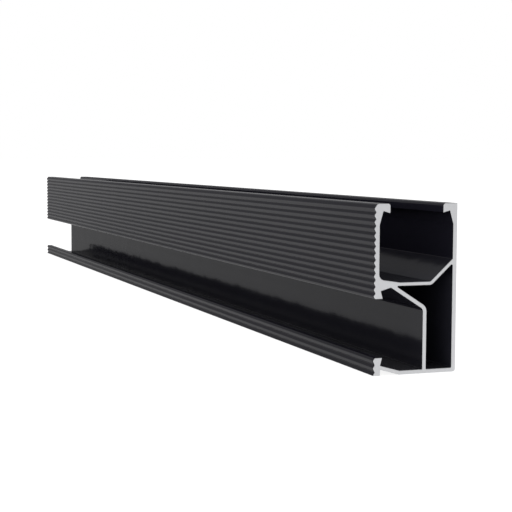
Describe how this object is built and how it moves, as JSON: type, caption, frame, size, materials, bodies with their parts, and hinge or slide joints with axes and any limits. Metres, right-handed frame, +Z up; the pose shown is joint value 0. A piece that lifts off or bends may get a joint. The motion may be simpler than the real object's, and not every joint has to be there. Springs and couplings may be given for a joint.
{
  "type": "solar mounting rail",
  "caption": "Black extruded aluminium rail with an open bolt channel in its top, another in its ribbed front, and a hollow chamber along its back.",
  "frame": {"origin": "mid-length and mid-depth of the rail, on its flat bottom face", "axes": "+X along the rail, +Y towards its flat back wall (the ribbed front is -Y), +Z up, towards the channel that opens at the top"},
  "size_m": [0.62, 0.0332, 0.0622],
  "materials": {
    "black_anodised": "black anodised, satin, with fine lines along the extrusion; both saw-cut ends are bare matt metal"
  },
  "bodies": {
    "root": {"rail": "black_anodised"}
  },
  "joints": []
}
